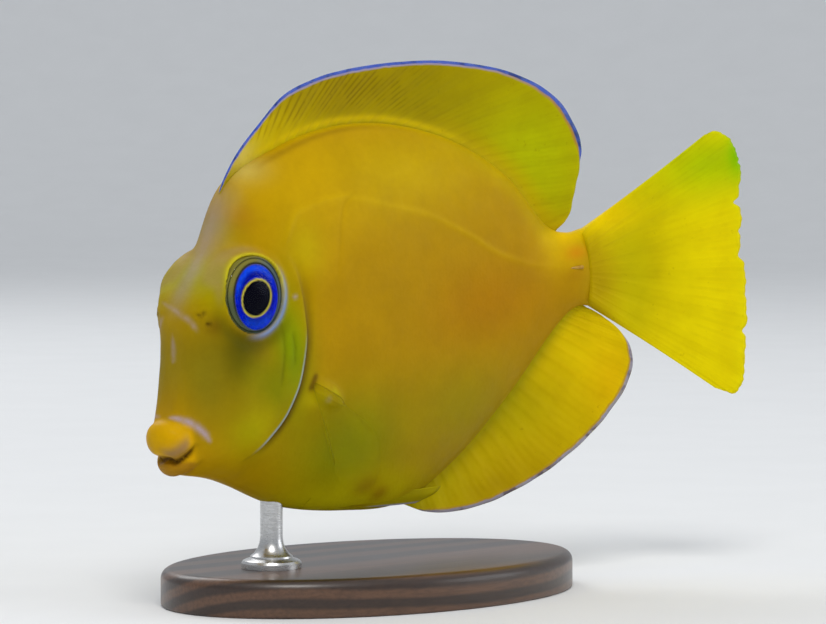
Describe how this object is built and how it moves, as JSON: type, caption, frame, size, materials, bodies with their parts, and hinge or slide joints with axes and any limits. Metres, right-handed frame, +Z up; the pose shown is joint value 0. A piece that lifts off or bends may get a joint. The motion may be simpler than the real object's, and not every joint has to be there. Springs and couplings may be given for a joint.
{
  "type": "atlantic blue tang model",
  "caption": "Life-size still model of a young Atlantic blue tang in its yellow phase, held by a rod over a flat oval display base.",
  "frame": {"origin": "centre of the model's box at floor level, on the underside of the stand", "axes": "+Z up, -X towards the snout, -Y on the side of the left flank; the tail is at +X, swung towards -Y"},
  "size_m": [0.0782, 0.034, 0.0582],
  "materials": {
    "skin": "finely scaled golden-yellow fish skin with an olive face and a moist, satin gloss",
    "fins": "thin yellow membrane over fine rays, with a blue margin on the back and belly fins",
    "eyes": "clear cornea over a blue iris, with a gold ring round a black pupil",
    "stand_wood": "dark stained wood, satin varnish",
    "stand_steel": "turned and brushed steel"
  },
  "bodies": {
    "root": {"head": "skin", "torso": "skin", "tail_stalk": "skin", "dorsal_fin": "fins", "anal_fin": "fins", "caudal_fin": "fins", "pectoral_fin_left": "fins", "pectoral_fin_right": "fins", "pelvic_fin_left": "fins", "pelvic_fin_right": "fins", "eye_left": "eyes", "eye_right": "eyes", "stand_base": "stand_wood", "stand_rod": "stand_steel"}
  },
  "joints": []
}
